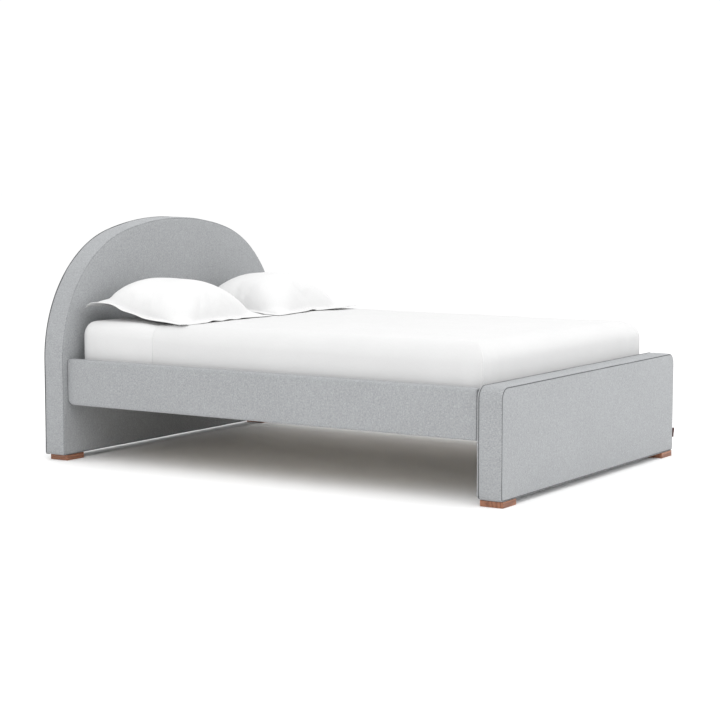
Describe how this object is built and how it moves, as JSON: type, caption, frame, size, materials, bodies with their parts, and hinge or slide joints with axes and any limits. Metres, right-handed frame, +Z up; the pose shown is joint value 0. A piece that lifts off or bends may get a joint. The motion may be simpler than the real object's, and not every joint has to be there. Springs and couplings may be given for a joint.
{
  "type": "upholstered platform bed",
  "caption": "Upholstered bed with a tall arched headboard, low boxed footboard, padded side rails, slatted base on a steel beam, mattress, duvet and flanged pillows.",
  "frame": {"origin": "on the floor, under the middle of the bed", "axes": "+Z up, +Y along the bed towards the headboard, X across its width"},
  "size_m": [1.538, 2.152, 0.9938],
  "materials": {
    "upholstery_fabric": "heathered light grey plain weave, matt",
    "welt_fabric": "the same heathered grey fabric, piped",
    "foam": "open-cell upholstery foam",
    "walnut": "satin reddish walnut, oiled",
    "plywood": "raw birch plywood",
    "frame_wood": "raw pine, planed",
    "slat_wood": "raw pine, planed",
    "webbing": "woven polypropylene webbing",
    "black_steel": "black powder coat, satin",
    "zinc_steel": "bright zinc plating",
    "mattress_ticking": "white quilted ticking",
    "sheet_cotton": "white cotton percale",
    "duvet_cotton": "white cotton sateen, soft",
    "pillow_cotton": "white cotton sateen, soft",
    "pillow_filling": "white cotton cambric",
    "tag_fabric": "dark red woven ribbon"
  },
  "bodies": {
    "bed_frame": {"beam_brackets": "black_steel", "bracket_bolts": "zinc_steel", "centre_beam": "black_steel", "foot_screws": "zinc_steel", "footboard_border_cover": "upholstery_fabric", "footboard_foam": "foam", "footboard_foot_left": "walnut", "footboard_foot_right": "walnut", "footboard_inner_cover": "upholstery_fabric", "footboard_inner_panel": "plywood", "footboard_inner_welt": "welt_fabric", "footboard_outer_cover": "upholstery_fabric", "footboard_outer_panel": "plywood", "footboard_outer_welt": "welt_fabric", "footboard_rib_frame": "frame_wood", "footboard_tag": "tag_fabric", "headboard_back_cover": "upholstery_fabric", "headboard_border_cover": "upholstery_fabric", "headboard_foam": "foam", "headboard_foot_left": "walnut", "headboard_foot_right": "walnut", "headboard_front_cover": "upholstery_fabric", "headboard_front_panel": "plywood", "headboard_front_welt": "welt_fabric", "headboard_rear_welt": "welt_fabric", "headboard_rib_frame": "frame_wood", "ledger_screws": "zinc_steel", "rail_brackets_foot": "black_steel", "rail_brackets_head": "black_steel", "side_rail_board_left": "frame_wood", "side_rail_board_right": "frame_wood", "side_rail_cover_left": "upholstery_fabric", "side_rail_cover_right": "upholstery_fabric", "side_rail_foam_left": "foam", "side_rail_foam_right": "foam", "slat_01": "slat_wood", "slat_02": "slat_wood", "slat_03": "slat_wood", "slat_04": "slat_wood", "slat_05": "slat_wood", "slat_06": "slat_wood", "slat_07": "slat_wood", "slat_08": "slat_wood", "slat_09": "slat_wood", "slat_10": "slat_wood", "slat_11": "slat_wood", "slat_12": "slat_wood", "slat_13": "slat_wood", "slat_ledger_left": "frame_wood", "slat_ledger_right": "frame_wood", "slat_straps": "webbing"},
    "mattress": {"mattress": "mattress_ticking", "fitted_sheet": "sheet_cotton", "duvet": "duvet_cotton"},
    "pillow_left": {"pillow_insert_left": "pillow_filling", "pillow_sham_left": "pillow_cotton"},
    "pillow_right": {"pillow_insert_right": "pillow_filling", "pillow_sham_right": "pillow_cotton"}
  },
  "joints": [
    {"name": "mattress_lift", "type": "slide", "parent": "bed_frame", "child": "mattress", "axis": [0, 0, 1], "range_m": [0, 0.3]},
    {"name": "pillow_left_lift", "type": "slide", "parent": "mattress", "child": "pillow_left", "axis": [0, 0, 1], "range_m": [0, 0.3]},
    {"name": "pillow_right_lift", "type": "slide", "parent": "mattress", "child": "pillow_right", "axis": [0, 0, 1], "range_m": [0, 0.3]}
  ]
}
